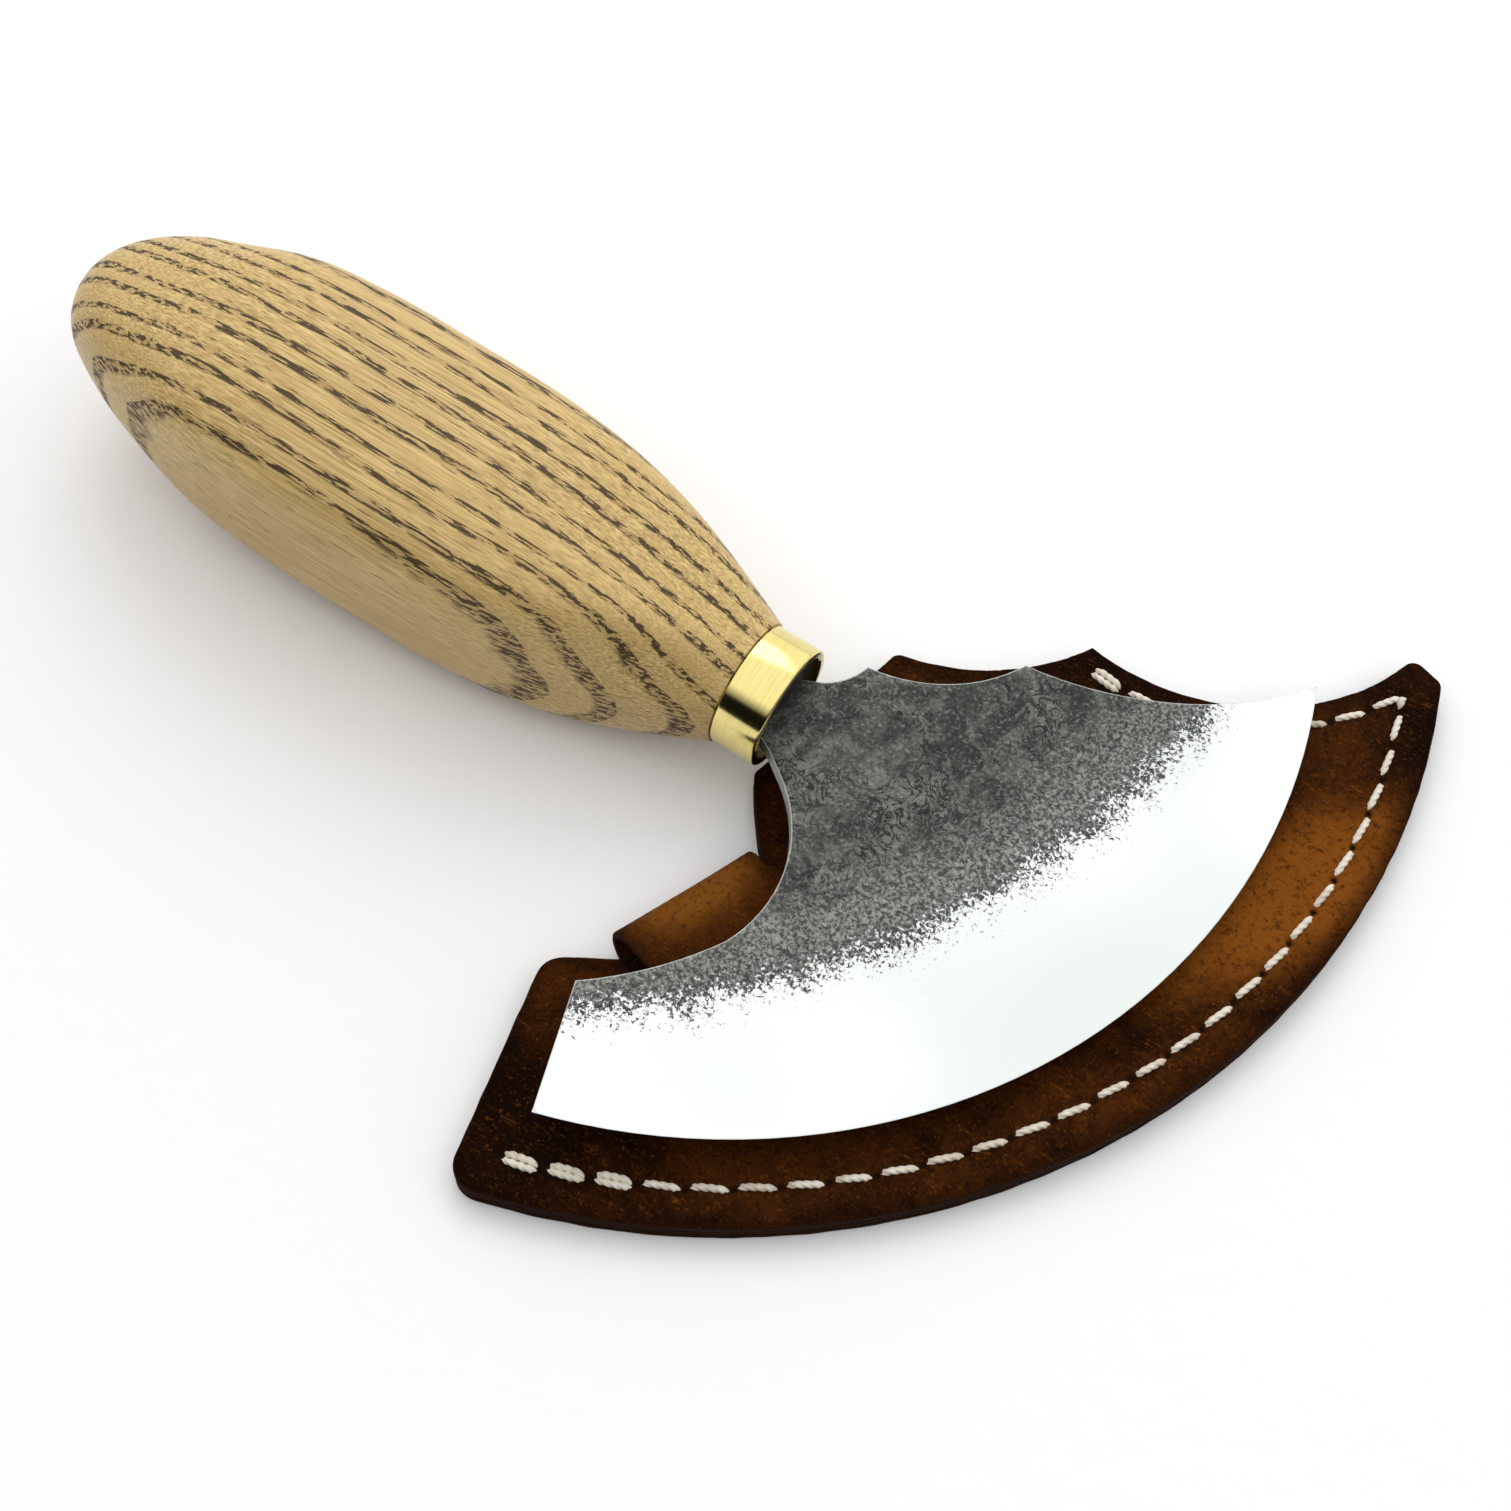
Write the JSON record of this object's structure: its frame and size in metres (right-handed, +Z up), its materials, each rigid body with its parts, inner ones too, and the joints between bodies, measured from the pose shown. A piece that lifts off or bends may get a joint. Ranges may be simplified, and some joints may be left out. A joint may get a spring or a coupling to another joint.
{
  "type": "round knife with sheath",
  "caption": "Half-moon leather knife with a waisted palm handle, ferrule and tang, lying on a stitched leather sheath with a folding closing flap.",
  "frame": {"origin": "on the table, under the middle of the whole object's bounding box", "axes": "+X along the handle from its butt towards the blade, +Z up, +Y across"},
  "size_m": [0.1988, 0.1384, 0.0355],
  "materials": {
    "ash_wood": "oiled ash with dark open pores",
    "ferrule_brass": "turned and brushed",
    "black_resin": "cast, matt",
    "forged_steel": "forge scale on the body, satin ground towards the edge",
    "brown_leather": "waxed pull-up leather, raw cut edges",
    "waxed_thread": "twisted, waxed",
    "stud_brass": "antiqued"
  },
  "bodies": {
    "sheath": {"back_panel": "brown_leather", "mouth_fold": "brown_leather", "welt": "brown_leather", "front_panel": "brown_leather", "front_thread": "waxed_thread", "back_thread": "waxed_thread", "snap_stud": "stud_brass", "snap_post": "stud_brass"},
    "knife": {"blade": "forged_steel", "ferrule": "ferrule_brass", "handle": "ash_wood", "tang_resin": "black_resin"},
    "flap": {"closing_flap": "brown_leather", "snap_cap": "stud_brass", "snap_socket": "stud_brass"}
  },
  "joints": [
    {"name": "knife_lift", "type": "slide", "parent": "sheath", "child": "knife", "axis": [0, 0, 1], "range_m": [0, 0.12]},
    {"name": "flap_fold", "type": "hinge", "parent": "sheath", "child": "flap", "pos_m": [0.02075, -0.03253, 0.0073], "axis": [-0.3805, -0.9248, 0], "range_deg": [0, 140]}
  ],
  "couplings": [
    {"joint": "flap_fold", "follows": "knife_lift", "rad_per_m": 20}
  ]
}
